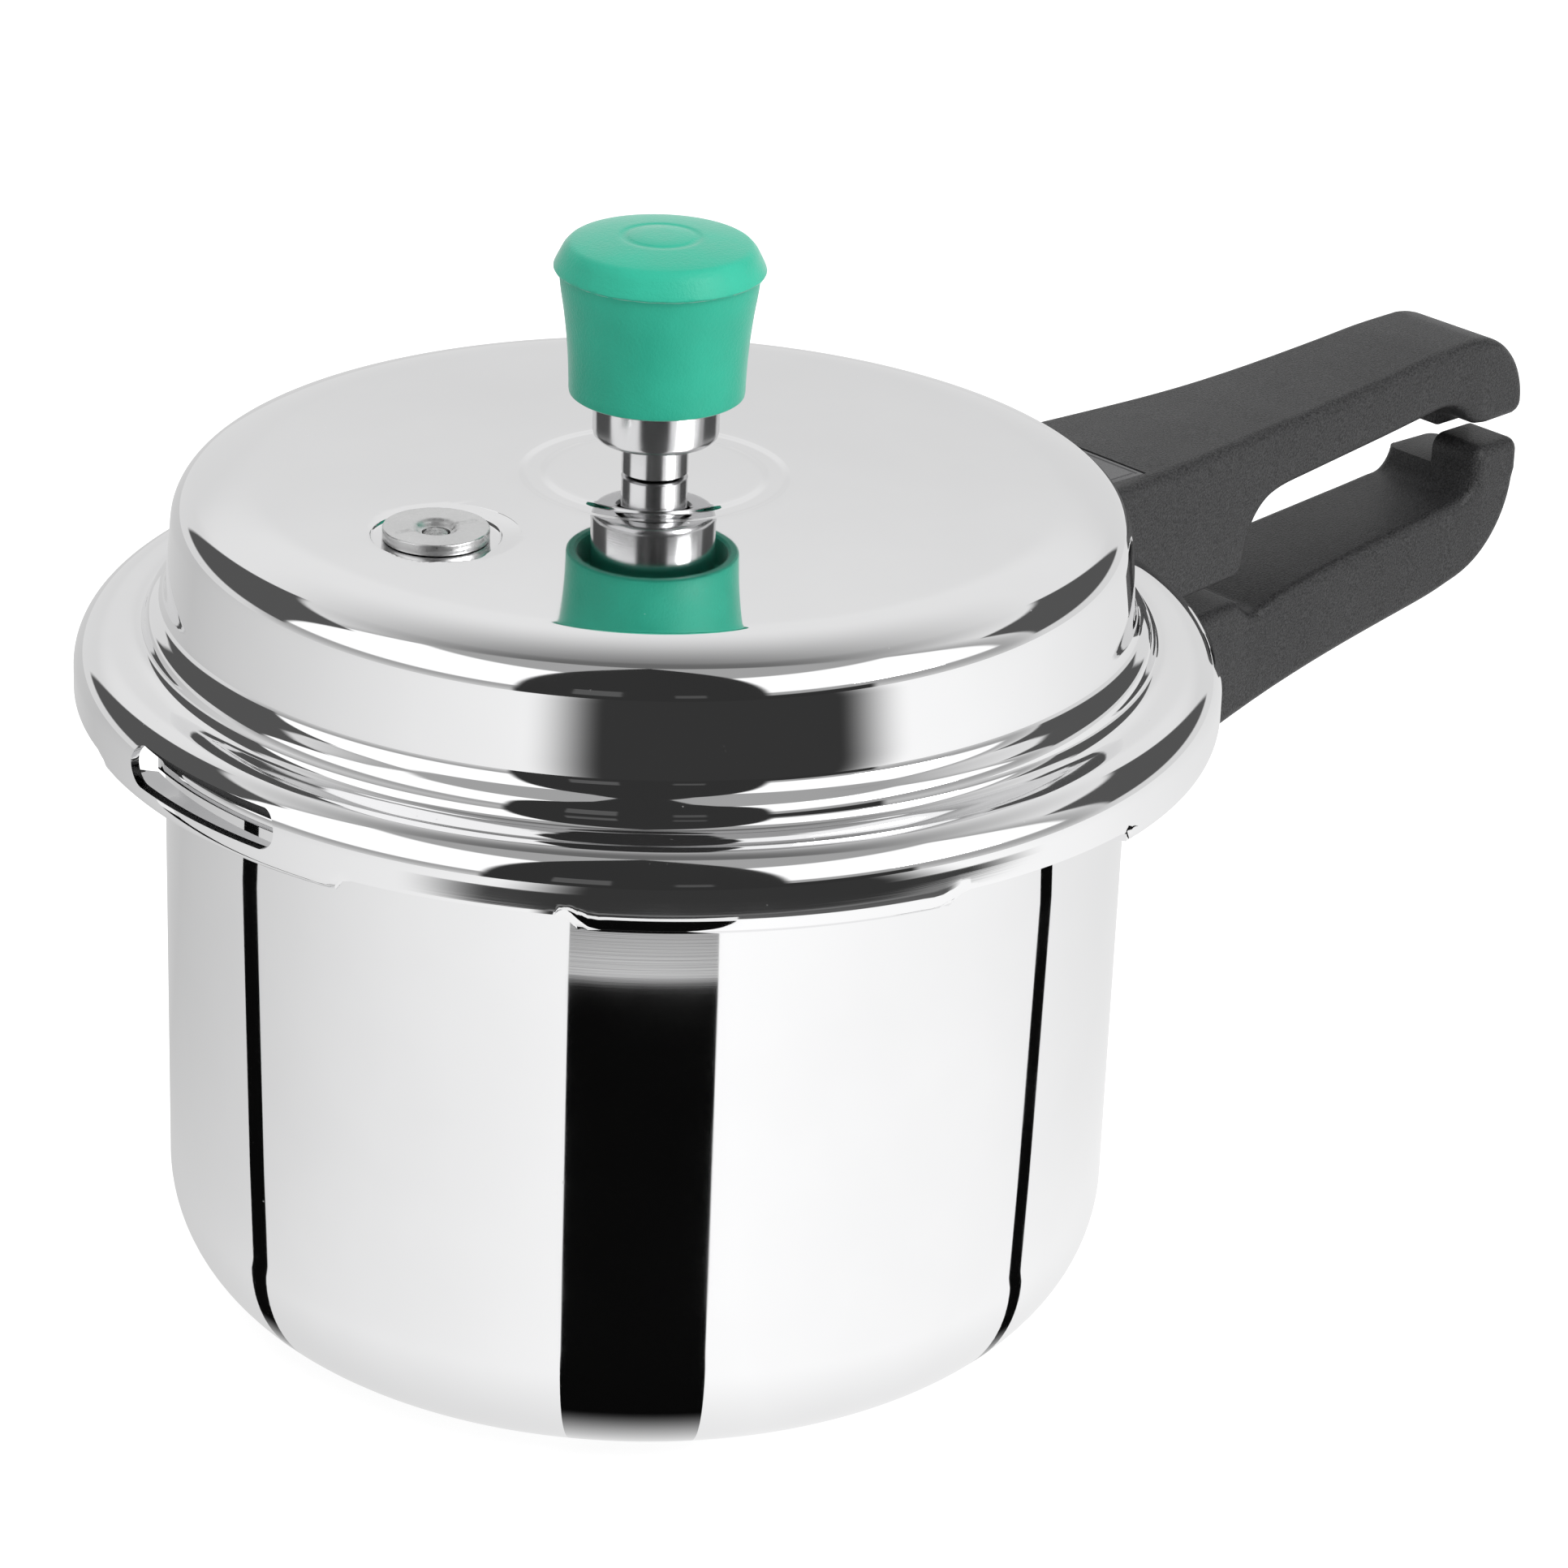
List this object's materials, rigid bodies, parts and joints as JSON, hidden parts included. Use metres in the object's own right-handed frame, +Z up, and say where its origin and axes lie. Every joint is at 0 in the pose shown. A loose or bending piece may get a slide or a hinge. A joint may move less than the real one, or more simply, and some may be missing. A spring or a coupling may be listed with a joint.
{
  "type": "stovetop pressure cooker",
  "caption": "Stovetop pressure cooker with an outer bayonet lid, weight valve on a vent tube, safety plug, gasket and paired long handles that meet at their tips.",
  "frame": {"origin": "centre of the pot's flat base, on the surface it stands on", "axes": "+Z up along the pot's axis, +X along both handles, +Y completes a right-handed frame"},
  "size_m": [0.3603, 0.225, 0.2214],
  "materials": {
    "mirror_steel": "mirror-polished stainless steel with fine polishing lines",
    "pot_steel": "polished stainless steel, slightly softer than the lid",
    "turned_steel": "turned steel with fine rings",
    "bracket_steel": "plain pressed steel",
    "screw_steel": "bright zinc plated",
    "black_phenolic": "fine-grained moulded phenolic with softly polished edges",
    "label_inlay": "smooth plate, no lettering",
    "black_rubber": "moulded nitrile rubber",
    "green_silicone": "teal green heat-resistant moulding, fine matte grain",
    "satin_aluminium": "turned satin aluminium",
    "fusible_alloy": "rough cast low-melting alloy",
    "brass_nut": "plain machined brass"
  },
  "bodies": {
    "pot": {"pot_body": "pot_steel", "pot_handle_bracket": "bracket_steel", "pot_handle": "black_phenolic", "pot_handle_screw_front": "screw_steel", "pot_handle_screw_rear": "screw_steel"},
    "lid": {"lid_shell": "mirror_steel", "lid_gasket": "black_rubber", "lid_handle_bracket": "bracket_steel", "lid_handle": "black_phenolic", "lid_handle_screw_front": "screw_steel", "lid_handle_screw_rear": "screw_steel", "lid_handle_inlay": "label_inlay", "vent_tube": "turned_steel", "vent_seal": "black_rubber", "vent_nut": "brass_nut", "plug_body": "satin_aluminium", "plug_alloy": "fusible_alloy", "plug_seal": "black_rubber", "plug_nut": "satin_aluminium"},
    "needle": {"weight_needle": "turned_steel"},
    "weight": {"weight_body": "turned_steel", "weight_cap": "green_silicone"}
  },
  "joints": [
    {"name": "lid_turn", "type": "hinge", "parent": "pot", "child": "lid", "pos_m": [0, 0, 0.13], "axis": [0, 0, 1], "range_deg": [0, 30]},
    {"name": "weight_lift", "type": "slide", "parent": "lid", "child": "needle", "axis": [0, 0, 1], "range_m": [0, 0.035]},
    {"name": "weight_spin", "type": "hinge", "parent": "needle", "child": "weight", "pos_m": [0, 0, 0.19], "axis": [0, 0, 1], "continuous": true}
  ]
}
